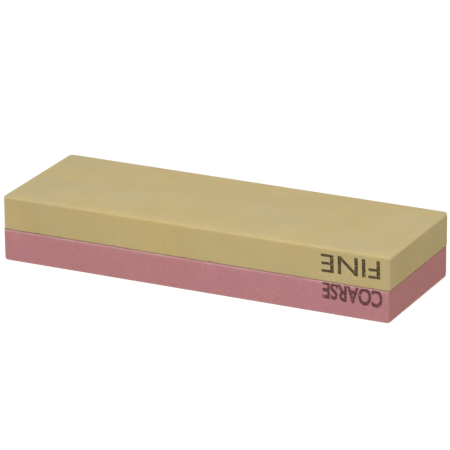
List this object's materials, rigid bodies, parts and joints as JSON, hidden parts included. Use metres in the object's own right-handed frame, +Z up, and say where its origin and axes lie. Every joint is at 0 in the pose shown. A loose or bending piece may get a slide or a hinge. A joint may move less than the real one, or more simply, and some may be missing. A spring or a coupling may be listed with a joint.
{
  "type": "sharpening whetstone",
  "caption": "Rectangular combination water stone: a fine khaki abrasive block bonded to a coarse pink one, for honing carving and whittling knives.",
  "frame": {"origin": "centre of the stone's footprint, on the plane of the coarse working face that it rests on", "axes": "+Z up, from the coarse working face to the fine one; +X along the length, towards the end with the grade marks; -Y towards the marked long side"},
  "size_m": [0.1802, 0.061, 0.029],
  "materials": {
    "coarse_abrasive": "matte",
    "fine_abrasive": "matte",
    "adhesive": "matte",
    "ink": "matte"
  },
  "bodies": {
    "root": {"coarse_stone": "coarse_abrasive", "bond_layer": "adhesive", "fine_stone": "fine_abrasive"}
  },
  "joints": []
}
